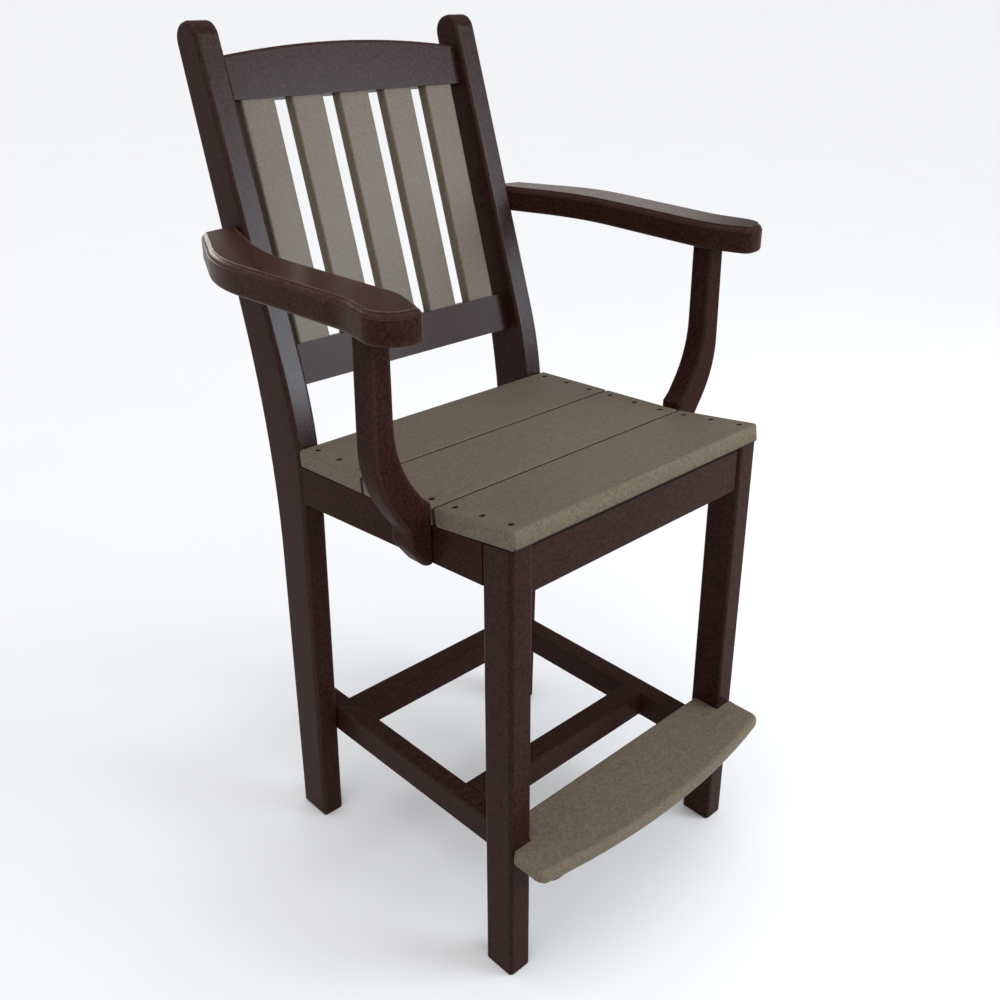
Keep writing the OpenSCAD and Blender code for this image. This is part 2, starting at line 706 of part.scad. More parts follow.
// Arms
module arm_support() {
    profile = rounded([
        [half_w + support_inner_x, arm_z, 0],
        [half_w + support_inner_x, support_seat_z + support_inner_lift + support_inner_rise,
            support_bend_r],
        [half_w + support_inner_start, support_seat_z + support_inner_lift, support_slant_r],
        [half_w, support_seat_z + support_start_lift, 0],
        [half_w, support_foot_z, support_heel_tip_r],
        [half_w + support_toe_w, support_foot_z, support_toe_tip_r],
        [half_w + support_foot_w, support_foot_z + support_toe_h, support_toe_r],
        [half_w + support_foot_w, support_seat_z - support_outer_drop, support_heel_r],
        [half_w + support_outer_x, support_seat_z - support_outer_drop + support_rise, support_bend_r],
        [half_w + support_outer_x - support_taper, arm_z, 0]
    ]);
    difference() {
        outline_y(profile, support_y, support_y + support_t);
        at_support_bolts() bolt_hole();
        at_arm_dowels() dowel_hole();
    }
}
module armrest() {
    outline = rounded([
        [half_w, arm_rear_y, 0],
        [half_w, arm_rear_y - arm_seat_l, 0],
        [half_w + arm_inner_x + arm_turn_out, arm_rear_y - arm_inner_sweep, arm_inner_r],
        [half_w + arm_inner_x, arm_front_y + arm_inner_flare, arm_flare_r],
        [half_w + arm_front_x - arm_front_w, arm_front_y, arm_front_inner_r],
        [half_w + arm_front_x, arm_front_y, arm_front_r],
        [half_w + arm_waist_x, arm_front_y + arm_waist_run, arm_waist_r],
        [half_w + arm_spread, arm_rear_y - arm_elbow, arm_elbow_r],
        [half_w + arm_rear_w, arm_rear_y - arm_rear_slant, arm_rear_r]
    ]);
    difference() {
        outline_z(outline, arm_z, arm_h);
        at_arm_screws() flat_head_hole(arm_screw_l);
        at_arm_dowels() dowel_hole();
    }
}
module right_arm_support() color(brown) right() arm_support();
module left_arm_support() color(brown) left() arm_support();
module right_armrest() color(brown) right() armrest();
module left_armrest() color(brown) left() armrest();

// Fasteners
module seat_screws() color(steel) placed() at_all_seat_screws() flat_head_screw(seat_screw_l);
module apron_screws() {
    color(steel) placed() {
        at_front_apron_screws() pan_head_screw(pocket_back + pocket_into);
        at_rear_apron_screws() pan_head_screw(pocket_back + pocket_into);
        at_side_apron_screws() pan_head_screw(pocket_back + pocket_into);
    }
}
module rail_screws() color(steel) placed() at_rail_screws() pan_head_screw(pocket_back + pocket_into);
module stretcher_lap_screws() color(steel) placed() at_lap_screws() flat_head_screw(lap_screw_l);
module stretcher_end_screws() {
    color(steel) placed() at_stretcher_end_screws() pan_head_screw(pocket_back + pocket_into);
}
module footrest_screws() color(steel) placed() at_footrest_screws() pan_head_screw(footrest_screw_l);
module arm_screws() color(steel) placed() at_arm_screws() flat_head_screw(arm_screw_l);
module arm_dowel_screws() {
    color(steel) placed() at_arm_dowels()
        rotate_extrude()
            polygon([[0, dowel_up], [dowel_r, dowel_up - screw_tip], [dowel_r, screw_tip - dowel_down],
                [0, -dowel_down]]);
}
module support_bolts() {
    color(steel) placed() at_support_bolts() {
        translate([0, 0, washer_t]) cylinder(r = 2 * bolt_r, h = bolt_head_h, $fn = 6);
        rotate_extrude()
            polygon([[0, washer_t], [bolt_r, washer_t], [bolt_r, screw_tip - bolt_l], [0, -bolt_l]]);
    }
}
module support_washers() {
    color(steel) placed() at_support_bolts() difference() {
        cylinder(r = washer_r, h = washer_t);
        translate([0, 0, -past]) cylinder(r = bolt_r + hole_fit, h = washer_t + 2 * past);
    }
}

right_rear_post();
left_rear_post();
right_front_leg();
left_front_leg();
front_apron();
rear_apron();
right_side_apron();
left_side_apron();
right_side_stretcher();
left_side_stretcher();
middle_stretcher();
rear_stretcher();
footrest_board();
seat_board_front();
seat_board_middle();
seat_board_rear();
lower_back_rail();
crest_rail();
back_slat(0);  // back_slat_1
back_slat(1);  // back_slat_2
back_slat(2);  // back_slat_3
back_slat(3);  // back_slat_4
back_slat(4);  // back_slat_5
right_arm_support();
left_arm_support();
right_armrest();
left_armrest();
seat_screws();
apron_screws();
rail_screws();
stretcher_lap_screws();
stretcher_end_screws();
footrest_screws();
arm_screws();
arm_dowel_screws();
support_bolts();
support_washers();
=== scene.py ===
"""Looks for the pub chair: rounded plastic-lumber boards, their screws, and a plain pale studio."""

import math

import bmesh
import bpy
from mathutils import Matrix, Vector

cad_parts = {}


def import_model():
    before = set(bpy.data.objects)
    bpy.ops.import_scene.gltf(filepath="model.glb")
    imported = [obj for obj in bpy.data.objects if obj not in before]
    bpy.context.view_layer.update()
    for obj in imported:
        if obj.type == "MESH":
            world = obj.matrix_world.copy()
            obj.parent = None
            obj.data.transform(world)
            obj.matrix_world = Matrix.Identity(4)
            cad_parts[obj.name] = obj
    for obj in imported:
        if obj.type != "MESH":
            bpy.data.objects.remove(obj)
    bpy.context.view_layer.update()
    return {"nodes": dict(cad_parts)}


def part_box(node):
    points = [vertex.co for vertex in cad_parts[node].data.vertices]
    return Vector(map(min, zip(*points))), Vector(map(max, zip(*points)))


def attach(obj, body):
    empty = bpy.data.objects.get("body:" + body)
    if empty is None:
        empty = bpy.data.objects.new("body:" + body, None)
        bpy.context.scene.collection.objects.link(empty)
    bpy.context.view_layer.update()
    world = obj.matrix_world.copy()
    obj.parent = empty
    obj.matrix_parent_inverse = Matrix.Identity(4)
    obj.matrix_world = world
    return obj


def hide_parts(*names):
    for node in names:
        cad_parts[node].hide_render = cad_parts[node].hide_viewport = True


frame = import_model()
nodes = frame["nodes"]
scene = bpy.context.scene
MM = 0.001

# Lengths that count as none, in metres
TINY = 1e-7
STRAIGHT = 2e-6
WELD = 3e-6
SAME = 2e-5
ON_FACE = 2e-4
AT_END = 3e-4


# Materials


def link(tree, a, b):
    tree.links.new(a, b)


def node_of(tree, kind, **values):
    made = tree.nodes.new(kind)
    for key, value in values.items():
        setattr(made, key, value)
    return made


def started(name):
    """A new material with its node tree, its shader and the place of a point on its object."""
    material = bpy.data.materials.new(name)
    material.use_nodes = True
    tree = material.node_tree
    place = node_of(tree, "ShaderNodeTexCoord").outputs["Object"]
    return material, tree, tree.nodes["Principled BSDF"], place


def noise(tree, vector, scale, detail=2.0, rough=0.5):
    made = node_of(tree, "ShaderNodeTexNoise")
    made.inputs["Scale"].default_value = scale
    made.inputs["Detail"].default_value = detail
    made.inputs["Roughness"].default_value = rough
    link(tree, vector, made.inputs["Vector"])
    return made.outputs["Fac"]


def ramp(tree, fac, stops):
    made = node_of(tree, "ShaderNodeValToRGB")
    elements = made.color_ramp.elements
    while len(elements) < len(stops):
        elements.new(0.5)
    for element, (place, colour) in zip(elements, stops):
        element.position = place
        element.color = (*colour, 1.0)
    link(tree, fac, made.inputs["Fac"])
    return made.outputs["Color"]


def remap(tree, value, span, onto):
    made = node_of(tree, "ShaderNodeMapRange")
    for name, number in zip(("From Min", "From Max", "To Min", "To Max"), (*span, *onto)):
        made.inputs[name].default_value = number
    link(tree, value, made.inputs["Value"])
    return made.outputs["Result"]


def mix(tree, share, a, b):
    """One colour turned into another by a share. The second may be a plain colour."""
    made = node_of(tree, "ShaderNodeMix", data_type="RGBA")
    link(tree, share, made.inputs["Factor"])
    link(tree, a, made.inputs["A"])
    if isinstance(b, tuple):
        made.inputs["B"].default_value = (*b, 1.0)
    else:
        link(tree, b, made.inputs["B"])
    return made.outputs["Result"]


def calculate(tree, operation, *values):
    made = node_of(tree, "ShaderNodeMath", operation=operation)
    for socket, value in zip(made.inputs, values):
        if isinstance(value, float):
            socket.default_value = value
        else:
            link(tree, value, socket)
    return made.outputs["Value"]


def bump(tree, height, strength, distance, under=None):
    made = node_of(tree, "ShaderNodeBump")
    made.inputs["Strength"].default_value = strength
    made.inputs["Distance"].default_value = distance
    link(tree, height, made.inputs["Height"])
    if under:
        link(tree, under, made.inputs["Normal"])
    return made.outputs["Normal"]


PIECE_SHIFT = (7.3, 5.1, 6.7)
STREAK_STRETCH = (0.06, 1.0, 1.0)
# The colour of the painted shade in the gaps and joints between parts
PAINTED_SHADE_COLOUR = (0.006, 0.0045, 0.004)


def lumber(name, dark, base, light, edge, rough, speck, specular, blotchy):
    """Plastic lumber: fine moulded grain, mottling, faint streaks, smooth routed edges, painted shade in
    gaps.

    The pieces' attribute rim is how worn an edge is, with a painted highlight along the armrest's step, and
    the shade attribute is how much painted shade a point gets: in the gaps between boards and parts, and low
    on the seat's front face.
    """
    material, tree, shader, place = started(name)
    own = node_of(tree, "ShaderNodeObjectInfo")
    shift = node_of(tree, "ShaderNodeVectorMath", operation="MULTIPLY_ADD")
    link(tree, own.outputs["Location"], shift.inputs[0])
    shift.inputs[1].default_value = PIECE_SHIFT
    link(tree, place, shift.inputs[2])
    point = shift.outputs["Vector"]
    stretched = node_of(tree, "ShaderNodeMapping")
    stretched.inputs["Scale"].default_value = STREAK_STRETCH
    link(tree, point, stretched.inputs["Vector"])
    along = stretched.outputs["Vector"]
    # rim: real wear on routed edges, and a painted highlight along the armrest's step
    rim = node_of(tree, "ShaderNodeAttribute", attribute_name="rim").outputs["Fac"]
    painted_shade = node_of(tree, "ShaderNodeAttribute", attribute_name="painted_shade").outputs["Fac"]

    mottle = noise(tree, point, scale=250.0, detail=3.0, rough=0.62)
    blotch = noise(tree, point, scale=95.0, detail=2.0, rough=0.55)
    cloud = noise(tree, point, scale=24.0, detail=3.0, rough=0.6)
    streak = noise(tree, along, scale=150.0, detail=3.0, rough=0.6)
    fleck = noise(tree, point, scale=720.0, detail=1.0)
    colour = ramp(tree, mottle, [(0.36, dark), (0.5, base), (0.64, light)])
    colour = mix(tree, remap(tree, cloud, (0.32, 0.68), (0.0, 0.35)), colour, base)
    colour = mix(tree, remap(tree, blotch, (0.52, 0.68), (0.0, blotchy)), colour, dark)
    colour = mix(tree, remap(tree, streak, (0.55, 0.75), (0.0, 0.28)), colour, light)
    colour = mix(tree, remap(tree, fleck, (0.66, 0.74), (0.0, speck)), colour, dark)
    # Worn edges are lighter, and the armrest's step gets a painted highlight line in the edge colour
    wear_and_highlight = calculate(tree, "MULTIPLY", rim, remap(tree, cloud, (0.35, 0.65), (0.5, 0.95)))
    colour = mix(tree, wear_and_highlight, colour, edge)
    # Painted shade: darker in the gaps between boards, where parts meet, and low on the seat's front face
    colour = mix(tree, remap(tree, painted_shade, (0.2, 0.9), (0.0, 0.75)), colour, PAINTED_SHADE_COLOUR)
    link(tree, colour, shader.inputs["Base Color"])

    grainy = remap(tree, mottle, (0.3, 0.7), (rough - 0.05, rough + 0.07))
    smoother = calculate(tree, "MULTIPLY_ADD", rim, -0.08, grainy)
    link(tree, calculate(tree, "MULTIPLY_ADD", painted_shade, 0.5, smoother), shader.inputs["Roughness"])
    shader.inputs["Specular IOR Level"].default_value = specular

    grain = bump(tree, noise(tree, point, scale=620.0, detail=3.0, rough=0.6), 0.18, 0.35 * MM)
    long_grain = bump(tree, noise(tree, along, scale=260.0), 0.12, 0.5 * MM, grain)
    link(tree, long_grain, shader.inputs["Normal"])
    return material


def metal(name, dark, light, rough):
    """Steel with fine scratches, and dirt in patches."""
    material, tree, shader, place = started(name)
    dirt = noise(tree, place, scale=420.0, detail=4.0, rough=0.6)
    link(tree, ramp(tree, dirt, [(0.38, dark), (0.62, light)]), shader.inputs["Base Color"])
    link(tree, remap(tree, dirt, (0.3, 0.7), (rough - 0.08, rough + 0.12)), shader.inputs["Roughness"])
    shader.inputs["Metallic"].default_value = 1.0
    link(tree, bump(tree, noise(tree, place, scale=2600.0), 0.2, 0.1 * MM), shader.inputs["Normal"])
    return material


# edge is the colour of worn edges, and of the painted highlight along the armrest's step
BROWNS = {"dark": (0.0150, 0.0054, 0.0040), "base": (0.0270, 0.0100, 0.0072),
          "light": (0.0400, 0.0162, 0.0122), "edge": (0.105, 0.072, 0.060)}
TANS = {"dark": (0.110, 0.086, 0.059), "base": (0.139, 0.112, 0.079),
        "light": (0.162, 0.133, 0.097), "edge": (0.180, 0.148, 0.110)}
BROWN = lumber("brown_lumber", **BROWNS, rough=0.33, speck=0.10, specular=0.042, blotchy=0.28)
DULL = lumber("dull_brown_lumber", **BROWNS, rough=0.38, speck=0.10, specular=0.022, blotchy=0.28)
TAN = lumber("tan_lumber", **TANS, rough=0.46, speck=0.15, specular=0.05, blotchy=0.25)
STEEL = metal("dark_steel", dark=(0.008, 0.007, 0.006), light=(0.020, 0.017, 0.015), rough=0.6)
COATED = metal("coated_steel", dark=(0.008, 0.005, 0.004), light=(0.016, 0.010, 0.008), rough=0.6)
BRIGHT = metal("bright_steel", dark=(0.32, 0.31, 0.30), light=(0.58, 0.57, 0.55), rough=0.34)


# Outlines

CORNER_TURN = math.radians(25)
CORNER_STEPS = 5
CORNER_SHARE = 0.45
PARALLEL = 0.02
ROUTED_WEAR = 0.15


def welded(node):
    """A node's mesh with its doubled points joined."""
    bm = bmesh.new()
    bm.from_mesh(nodes[node].data)
    bmesh.ops.remove_doubles(bm, verts=bm.verts, dist=WELD)
    return bm


def cap_loop(node, axis):
    """The outer outline of the node's flat face that lies furthest along an axis, in order."""
    bm = welded(node)
    far = max(v.co.dot(axis) for v in bm.verts)
    # A list, because the order in a set changes from run to run
    faces = [f for f in bm.faces if all(v.co.dot(axis) > far - SAME for v in f.verts)]
    flat = set(faces)
    steps = {}
    for f in faces:
        for loop in f.loops:
            if sum(1 for g in loop.edge.link_faces if g in flat) == 1:
                steps[loop.vert.index] = loop.link_loop_next.vert.index
    bm.verts.ensure_lookup_table()
    loops = []
    while steps:
        start, here = next(iter(steps.items()))
        ring = [start]
        del steps[start]
        while here != start and here in steps:
            ring.append(here)
            here = steps.pop(here)
        loops.append([bm.verts[i].co.copy() for i in ring])
    bm.free()
    return max(loops, key=lambda ring: sum((a - b).length for a, b in zip(ring, ring[1:] + ring[:1])))


def area(loop):
    return 0.5 * sum(a.x * b.y - b.x * a.y for a, b in zip(loop, loop[1:] + loop[:1]))


def tidy(loop):
    """Drops doubled points and points on straight runs, and turns the outline counter-clockwise."""
    kept = []
    for p in loop:
        if not kept or (p - kept[-1]).length > SAME:
            kept.append(p)
    if (kept[0] - kept[-1]).length < SAME:
        kept.pop()
    changed = True
    while changed:
        changed = False
        for i in range(len(kept)):
            a, b, c = kept[i - 1], kept[i], kept[(i + 1) % len(kept)]
            if abs((b - a).cross(c - b)) < STRAIGHT * (c - a).length and (b - a).dot(c - b) > 0:
                kept.pop(i)
                changed = True
                break
    return kept if area(kept) > 0 else kept[::-1]


def soften(loop, radius, keep=None):
    """Rounds the outline's sharp corners, other than those that keep(corner) names."""
    out = []
    count = len(loop)
    for i in range(count):
        a, b, c = loop[i - 1], loop[i], loop[(i + 1) % count]
        u, v = (a - b), (c - b)
        turn = math.pi - u.angle(v)
        if turn < CORNER_TURN or (keep and keep(b)):
            out.append(b)
            continue
        reach = min(radius * math.tan(turn / 2), CORNER_SHARE * u.length, CORNER_SHARE * v.length)
        r = reach / math.tan(turn / 2)
        centre = b + (u.normalized() + v.normalized()).normalized() * (r / math.cos(turn / 2))
        first, last = b + u.normalized() * reach - centre, b + v.normalized() * reach - centre
        way = 1 if first.cross(last) > 0 else -1
        for k in range(CORNER_STEPS + 1):
            t = way * turn * k / CORNER_STEPS
            out.append(centre + Vector((first.x * math.cos(t) - first.y * math.sin(t),
                                        first.x * math.sin(t) + first.y * math.cos(t))))
    return out


def inset(loop, edges_in):
    """The outline with each edge moved inwards by its own distance, less the edges that would turn over."""
    count = len(loop)
    ways = [(loop[(i + 1) % count] - loop[i]).normalized() for i in range(count)]
    normals = [Vector((-w.y, w.x)) for w in ways]
    kept = [True] * count

    def crossing(i, j, at):
        cross = ways[i].cross(ways[j])
        if abs(cross) < PARALLEL:
            return at + (normals[i] + normals[j]).normalized() * ((edges_in[i] + edges_in[j]) / 2)
        p, q = loop[i] + normals[i] * edges_in[i], loop[j] + normals[j] * edges_in[j]
        return p + ways[i] * ((q - p).cross(ways[j]) / cross)

    while True:
        out = []
        for i in range(count):
            before, after = (i - 1) % count, i
            while not kept[before]:
                before = (before - 1) % count
            while not kept[after]:
                after = (after + 1) % count
            out.append(crossing(before, after, loop[i]))
        turned_over = [i for i in range(count)
                       if kept[i] and (out[(i + 1) % count] - out[i]).dot(ways[i]) < 0]
        if not turned_over:
            return out
        for i in turned_over:
            kept[i] = False


def oval(rx, rz, steps=6):
    """A quarter of an oval from the side face to the end face, as (inset, depth) in metres."""
    return [(rx * (1 - math.cos(t)), rz * (1 - math.sin(t))) for t in
            (math.pi / 2 * k / steps for k in range(steps + 1))]


def quarter(r, steps=6):
    return oval(r, r, steps)


def with_wear_and_highlight(profile):
    """Adds how worn each ring of a rim is, 0 to 1, where the profile doesn't say. The armrest's step gives
    its own values, which paint a highlight.
    """
    last = profile[-1][0]
    return [step if len(step) == 3 else (*step, ROUTED_WEAR if 0 < step[0] < last else 0.0)
            for step in profile]


# Boards

SHARP_EDGE = math.radians(32)
END_GRAIN = 0.9


def finish_mesh(obj):
    """Shades a piece smooth, other than over its sharp edges."""
    for polygon in obj.data.polygons:
        polygon.use_smooth = True
    bm = bmesh.new()
    bm.from_mesh(obj.data)
    for edge in bm.edges:
        faces = edge.link_faces
        edge.smooth = len(faces) == 2 and faces[0].normal.angle(faces[1].normal, 0.0) < SHARP_EDGE
    bm.to_mesh(obj.data)
    bm.free()
    weighted = obj.modifiers.new("normals", "WEIGHTED_NORMAL")
    weighted.mode = "FACE_AREA"
    weighted.weight = 90
    weighted.keep_sharp = True


def cut(obj, cutters):
    """Cuts closed meshes out of a board."""
    if not cutters:
        return
    mesh = bpy.data.meshes.new("cutters")
    bm = bmesh.new()
    for cutter in cutters:
        cutter(bm)
    bmesh.ops.recalc_face_normals(bm, faces=bm.faces)
    bm.to_mesh(mesh)
    bm.free()
    tool = bpy.data.objects.new("cutters", mesh)
    scene.collection.objects.link(tool)
    step = obj.modifiers.new("holes", "BOOLEAN")
    step.operation = "DIFFERENCE"
    step.solver = "EXACT"
    step.object = tool
    bpy.context.view_layer.update()
    made = bpy.data.meshes.new_from_object(obj.evaluated_get(bpy.context.evaluated_depsgraph_get()))
    obj.modifiers.clear()
    obj.data = made
    bpy.data.objects.remove(tool)


def board(name, node, axis, grain, low, high, material, corner=0.0, flat=None, holes=(), keep=None,
          top_plane=None, loop_axis=None, yields=None, painted_shade_at=None, pull=None):
    """A board that stands for a node: its outline across an axis, with rounded rims at both ends.

    grain is the direction of the board's length, and loop_axis that of the end whose outline is taken.
    low and high are the rim profiles at the two ends along the axis, and top_plane, a point and a normal,
    is where a slanted high end lies. corner is the radius of the outline's sharp corners, other than those
    that keep(point) names. flat(a, b) says which outline edges meet a neighbour and keep their place, and
    yields(point) how far, 0 to 1, the rim is rounded there. The shade function says how much painted shade,
    0 to 1, a point gets, and pull(point, depth) how a point that lies that far from the board's end is moved.
    """
    axis = axis.normalized()
    end_grain = abs(grain.normalized().dot(axis)) >= END_GRAIN
    u = axis.orthogonal().normalized() if end_grain else (grain - axis * grain.dot(axis)).normalized()
    v = axis.cross(u)
    ring = cap_loop(node, loop_axis or axis)
    spans = [p.co.dot(axis) for p in nodes[node].data.vertices]
    z0, z1 = min(spans), max(spans)
    centre = sum(ring, Vector()) / len(ring)
    origin = centre - axis * centre.dot(axis)
    loop = tidy([Vector(((p - origin).dot(u), (p - origin).dot(v))) for p in ring])

    def world(p, z):
        return origin + u * p.x + v * p.y + axis * z

    if corner:
        loop = soften(loop, corner, keep=(lambda p: keep(world(p, z1))) if keep else None)
    held = [bool(flat and flat(world(a, z1), world(b, z1))) for a, b in zip(loop, loop[1:] + loop[:1])]
    bm = bmesh.new()
    rim_layer = bm.verts.layers.float.new("rim")
    rings = []
    stack = [(*step, -1) for step in reversed(with_wear_and_highlight(low))] + [(*step, 1) for step in with_wear_and_highlight(high)]
    for push, depth, wear_and_highlight, end in stack:
        shape = inset(loop, [0.0 if h else push for h in held])
        if yields:
            shape = [p.lerp(q, yields(world(p, z1))) for p, q in zip(loop, shape)]
        verts = []
        for p in shape:
            at = world(p, z1 - depth if end > 0 else z0 + depth)
            if top_plane and end > 0:
                point, normal = top_plane
                at = at + axis * ((point - at).dot(normal) / axis.dot(normal) - depth)
            if pull:
                at = at + pull(at, depth)
            vert = bm.verts.new(at)
            vert[rim_layer] = wear_and_highlight
            verts.append(vert)
        rings.append(verts)
    count = len(loop)
    for a, b in zip(rings, rings[1:]):
        for i in range(count):
            j = (i + 1) % count
            if any((p.co - q.co).length >= TINY for p, q in ((a[i], b[i]), (a[j], b[j]))):
                bm.faces.new([a[i], a[j], b[j], b[i]])
    bm.faces.new(list(reversed(rings[0])))
    bm.faces.new(rings[-1])
    bmesh.ops.remove_doubles(bm, verts=bm.verts, dist=TINY)
    bmesh.ops.recalc_face_normals(bm, faces=bm.faces)
    mesh = bpy.data.meshes.new(name)
    bm.to_mesh(mesh)
    bm.free()
    obj = bpy.data.objects.new(name, mesh)
    scene.collection.objects.link(obj)
    cut(obj, holes)
    long_way, across = (axis, u) if end_grain else (u, v)
    place = Matrix((long_way, across, long_way.cross(across))).transposed().to_4x4()
    place.translation = world(Vector((0.0, 0.0)), (z0 + z1) / 2)
    # The painted shade of each point, for the material
    if painted_shade_at:
        shade = obj.data.attributes.new("painted_shade", "FLOAT", "POINT")
        for vert in obj.data.vertices:
            shade.data[vert.index].value = float(painted_shade_at(vert.co))
    obj.data.transform(place.inverted())
    obj.matrix_world = place
    finish_mesh(obj)
    obj.data.materials.clear()
    obj.data.materials.append(material)
    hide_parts(node)
    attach(obj, "root")


# Screw holes

# Turned profiles, as (radius, distance from the head's top towards the tip)
SINK = [(4.25 * MM, -4 * MM), (4.25 * MM, 0.55 * MM), (2.25 * MM, 2.6 * MM), (2.25 * MM, 5 * MM)]
POCKET = [(4.3 * MM, -46 * MM), (4.3 * MM, 3 * MM)]
TURNED_SIDES = 32


def islands(node):
    """The points of each separate solid of a node."""
    bm = welded(node)
    seen, groups = set(), []
    for start in bm.verts:
        if start in seen:
            continue
        group, todo = [], [start]
        seen.add(start)
        while todo:
            here = todo.pop()
            group.append(here.co.copy())
            for edge in here.link_edges:
                other = edge.other_vert(here)
                if other not in seen:
                    seen.add(other)
                    todo.append(other)
        groups.append(group)
    bm.free()
    return groups


def screw_lines(node):
    """For each screw of a node, the middle of its head's top and its direction towards the tip."""
    lines = []
    for group in islands(node):
        middle = sum(group, Vector()) / len(group)
        tip = max(group, key=lambda p: (p - middle).length)
        way = (tip - middle).normalized()
        top = min(p.dot(way) for p in group)
        ring = [p for p in group if p.dot(way) < top + AT_END]
        head = sum(ring, Vector()) / len(ring)
        lines.append((head, (tip - head).normalized()))
    return lines


def turned(profile, head, way):
    """A closed turned solid about a screw's line."""
    u = way.orthogonal().normalized()
    v = way.cross(u)

    def make(bm):
        rings = []
        for radius, along in profile:
            rings.append([bm.verts.new(head + way * along + (u * math.cos(t) + v * math.sin(t)) * radius)
                          for t in (2 * math.pi * k / TURNED_SIDES for k in range(TURNED_SIDES))])
        for a, b in zip(rings, rings[1:]):
            for i in range(TURNED_SIDES):
                j = (i + 1) % TURNED_SIDES
                bm.faces.new([a[i], a[j], b[j], b[i]])
        bm.faces.new(list(reversed(rings[0])))
        bm.faces.new(rings[-1])
    return make


def screw_holes(node, profile, inside):
    """Cutters for the screws of a node whose heads are in a board, told by a test on the head's place."""
    return [turned(profile, head, way) for head, way in screw_lines(node) if inside(head)]


def near(node, grow=2 * MM):
    """A test whether a point lies in a node's box, grown a little on every side."""
    low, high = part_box(node)
    return lambda p: all(low[i] - grow < p[i] < high[i] + grow for i in range(3))


# The chair

X, Y, Z = Vector((1, 0, 0)), Vector((0, 1, 0)), Vector((0, 0, 1))
BACK_LEAN = math.radians(16.6)
SEAT_FALLS = {"front": math.radians(8.2), "middle": math.radians(3.0), "rear": math.radians(3.0)}


def leaning(angle):
    """The upward direction that leans back by an angle, and the backward one square to it."""
    return Vector((0, math.sin(angle), math.cos(angle))), Vector((0, math.cos(angle), -math.sin(angle)))


def on_plane(axis, value):
    """A test whether both ends of an outline's edge lie on a plane."""
    return lambda a, b: abs(a.dot(axis) - value) < ON_FACE and abs(b.dot(axis) - value) < ON_FACE


BACK_UP, INTO_BACK = leaning(BACK_LEAN)
BACK_OUT = -INTO_BACK
LEG_UP = leaning(SEAT_FALLS["front"])[0]
post_low, post_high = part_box("left_rear_post")
POST_INNER, POST_OUTER = post_low.x, post_high.x

# The armrest's stepped round-over, as (inset, depth) or (inset, depth, wear); on the step's rings the third
# value paints a highlight line along the flat top's edge
ARM_RIM = [(0.0, 8 * MM), (0.25 * MM, 7.7 * MM), (0.7 * MM, 7.5 * MM), (1.1 * MM, 6.2 * MM),
           (2.1 * MM, 4.4 * MM), (3.6 * MM, 2.9 * MM), (5.4 * MM, 1.9 * MM, 0.0),
           (5.7 * MM, 1.7 * MM, 0.0), (5.8 * MM, 0.8 * MM, 0.5), (6.1 * MM, 0.25 * MM, 0.8),
           (6.9 * MM, 0.0, 0.6), (8.2 * MM, 0.0, 0.0)]
# Widths of painted shade: at the side aprons' ends, at the front and rear aprons' ends, and along their tops
# under the seat
SIDE_APRON_END_SHADE = 0.9 * MM
APRON_END_SHADE = 0.5 * MM
APRON_TOP_SHADE = 4.5 * MM


def side_boards(side, out):
    """The six boards of one side. out is the direction away from the chair's middle."""
    post = side + "_rear_post"
    board(post + "_board", post, out, Z, quarter(6 * MM), quarter(6 * MM), BROWN,
          holes=screw_holes("arm_screws", SINK, near(post)))
    leg = side + "_front_leg"
    highest = max((v.co for v in nodes[leg].data.vertices), key=lambda p: p.dot(LEG_UP))
    board(leg + "_board", leg, Z, Z, quarter(1.8 * MM, steps=3), quarter(0.3 * MM, steps=1), BROWN,
          top_plane=(highest, LEG_UP), loop_axis=-Z)
    apron = side + "_side_apron"
    low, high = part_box(apron)
    # The side apron gets painted shade at both ends, where it meets the legs
    board(apron + "_board", apron, out, Y, quarter(1.5 * MM, steps=3), quarter(2 * MM, steps=4), DULL,
          holes=screw_holes("apron_screws", POCKET, near(apron)),
          painted_shade_at=lambda p: p.y < low.y + SIDE_APRON_END_SHADE or p.y > high.y - SIDE_APRON_END_SHADE)
    stretcher = side + "_side_stretcher"
    board(stretcher + "_board", stretcher, out, Y, quarter(3 * MM), quarter(3 * MM), BROWN, corner=2 * MM,
          holes=screw_holes("stretcher_lap_screws", SINK, near(stretcher))
          + screw_holes("footrest_screws", POCKET, near(stretcher, grow=20 * MM)))
    support = side + "_arm_support"
    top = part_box(support)[1].z
    board(support + "_board", support, -Y, Z, quarter(5.5 * MM), quarter(6.5 * MM), DULL, corner=1.5 * MM,
          flat=on_plane(Z, top), keep=lambda p: p.z > top - ON_FACE)
    arm = side + "_armrest"
    board(arm + "_board", arm, Z, Y, quarter(5 * MM), ARM_RIM, BROWN, flat=on_plane(out, POST_OUTER))


side_boards("right", -X)
side_boards("left", X)


def cross_apron(node):
    """The front or rear apron, with painted shade at its two ends, where the legs meet it, and along its top,
    under the seat.
    """
    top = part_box(node)[1].z
    rim = quarter(1.2 * MM, steps=2)
    board(node + "_board", node, -X, X, rim, rim, BROWN, corner=5 * MM,
          holes=screw_holes("apron_screws", POCKET, near(node)),
          painted_shade_at=lambda p: abs(p.x) > POST_INNER - APRON_END_SHADE or p.z > top - APRON_TOP_SHADE)


def cross_stretcher(node):
    rim = quarter(0.3 * MM, steps=1)
    board(node + "_board", node, X, X, rim, rim, BROWN, corner=4 * MM,
          holes=screw_holes("stretcher_end_screws", POCKET, near(node, grow=25 * MM)))


cross_apron("front_apron")
cross_apron("rear_apron")
cross_stretcher("middle_stretcher")
cross_stretcher("rear_stretcher")

